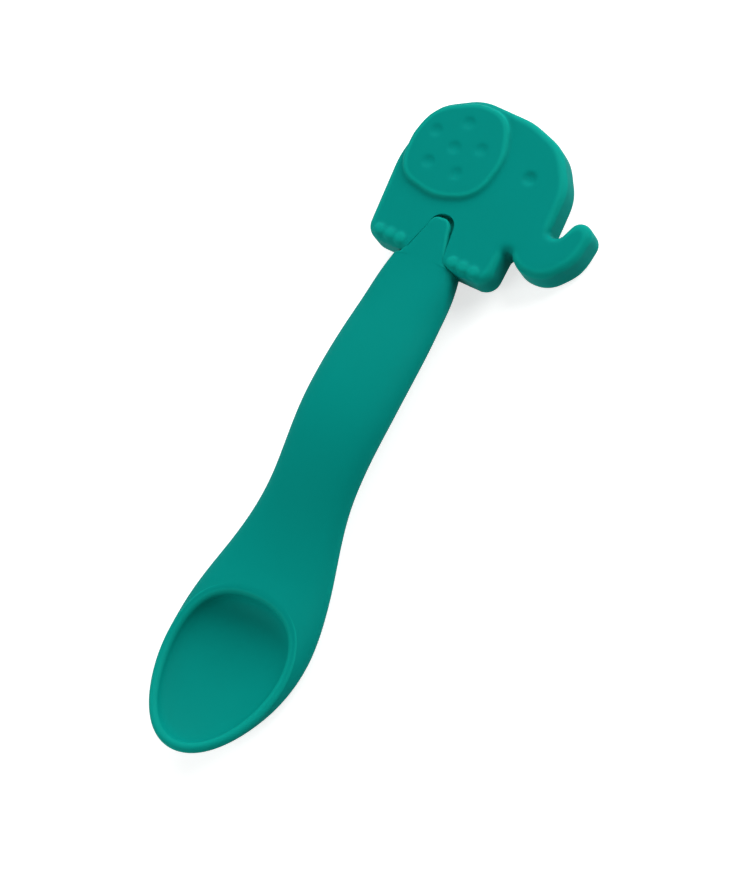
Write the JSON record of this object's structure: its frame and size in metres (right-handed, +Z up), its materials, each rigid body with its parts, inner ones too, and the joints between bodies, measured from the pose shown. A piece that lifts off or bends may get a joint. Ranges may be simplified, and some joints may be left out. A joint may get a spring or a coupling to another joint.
{
  "type": "baby spoon",
  "caption": "Soft silicone feeding spoon with a shallow oval bowl, an arched handle and a flat elephant figure as its end piece.",
  "frame": {"origin": "centre of the spoon's box, on the table that it lies on", "axes": "+X along the spoon from the bowl to the figure, +Y to the left of it, +Z up out of the bowl's opening"},
  "size_m": [0.1418, 0.0458, 0.012],
  "materials": {
    "silicone": "satin",
    "nylon": "matte"
  },
  "bodies": {
    "root": {"spoon_moulding": "silicone", "stiffener_core": "nylon", "elephant_figure": "silicone"}
  },
  "joints": []
}
